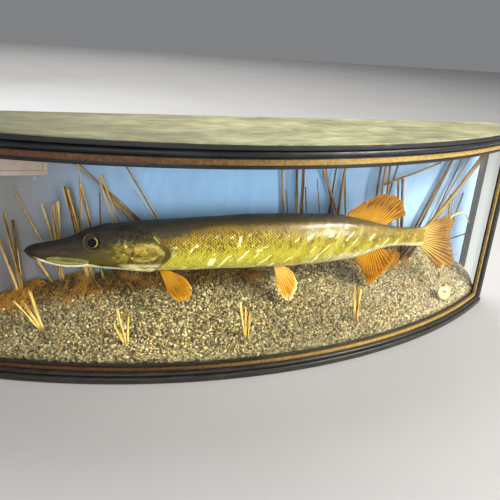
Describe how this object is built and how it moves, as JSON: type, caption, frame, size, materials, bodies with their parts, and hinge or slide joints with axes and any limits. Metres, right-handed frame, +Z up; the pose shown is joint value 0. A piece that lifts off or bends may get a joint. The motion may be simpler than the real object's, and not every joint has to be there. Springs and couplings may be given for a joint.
{
  "type": "mounted pike in a bow-front glazed case",
  "caption": "Taxidermy pike on rods over a gravel bed with dried reeds, sealed in an ebonised bow-front case with glazed ends, gilt slips and a bare label.",
  "frame": {"origin": "middle of the case's footprint, on the surface it stands on", "axes": "+X along the case's width, with the fish's head towards -X and its tail towards +X; +Y from the bowed glass towards the back board; +Z up"},
  "size_m": [0.65, 0.1446, 0.2163],
  "materials": {
    "ebonised_wood": "ebonised and varnished, satin, worn to bare wood at the corners",
    "gilt_slip": "gold leaf over red clay, worn",
    "top_wood": "bare pale softwood, dusty and streaked, with chipped black edges",
    "painted_board": "pale blue distemper, matte and stained",
    "glass": "clear old sheet glass",
    "label_card": "aged card, matte",
    "gravel": "fine mixed gravel set in glue, matte",
    "moss": "dried roots and moss, matte",
    "reed": "dried reed stems, matte",
    "shell": "snail shell, satin",
    "fish_skin": "painted and varnished scaled skin, glossy",
    "fish_fin": "varnished fin membrane with darker rays",
    "fish_eye": "glass eye, dark pupil with a gold ring",
    "support_rod": "dull iron wire"
  },
  "bodies": {
    "root": {"case_back_board": "painted_board", "case_base_board": "ebonised_wood", "case_base_moulding_front": "ebonised_wood", "case_base_moulding_left": "ebonised_wood", "case_base_moulding_right": "ebonised_wood", "case_bead_front": "ebonised_wood", "case_glass_front": "glass", "case_glass_left": "glass", "case_glass_right": "glass", "case_label": "label_card", "case_post_left": "ebonised_wood", "case_post_right": "ebonised_wood", "case_slip_front": "gilt_slip", "case_stile_left": "ebonised_wood", "case_stile_right": "ebonised_wood", "case_top_board": "top_wood", "case_top_moulding_front": "ebonised_wood", "case_top_moulding_left": "ebonised_wood", "case_top_moulding_right": "ebonised_wood", "fish_eye_left": "fish_eye", "fish_eye_right": "fish_eye", "fish_fin_anal": "fish_fin", "fish_fin_dorsal": "fish_fin", "fish_fin_pectoral_left": "fish_fin", "fish_fin_pectoral_right": "fish_fin", "fish_fin_pelvic_left": "fish_fin", "fish_fin_pelvic_right": "fish_fin", "fish_fin_tail": "fish_fin", "fish_head": "fish_skin", "fish_lower_jaw": "fish_skin", "fish_support_1": "support_rod", "fish_support_2": "support_rod", "fish_tail_stem": "fish_skin", "fish_trunk_front": "fish_skin", "fish_trunk_middle": "fish_skin", "fish_trunk_rear": "fish_skin", "ground_gravel_bed": "gravel", "ground_moss_bank": "moss", "ground_reed_clump_1": "reed", "ground_reed_clump_10": "reed", "ground_reed_clump_11": "reed", "ground_reed_clump_12": "reed", "ground_reed_clump_2": "reed", "ground_reed_clump_3": "reed", "ground_reed_clump_4": "reed", "ground_reed_clump_5": "reed", "ground_reed_clump_6": "reed", "ground_reed_clump_7": "reed", "ground_reed_clump_8": "reed", "ground_reed_clump_9": "reed", "ground_shell": "shell", "ground_straw_tuft_1": "reed", "ground_straw_tuft_2": "reed", "ground_straw_tuft_3": "reed", "ground_straw_tuft_4": "reed"}
  },
  "joints": []
}
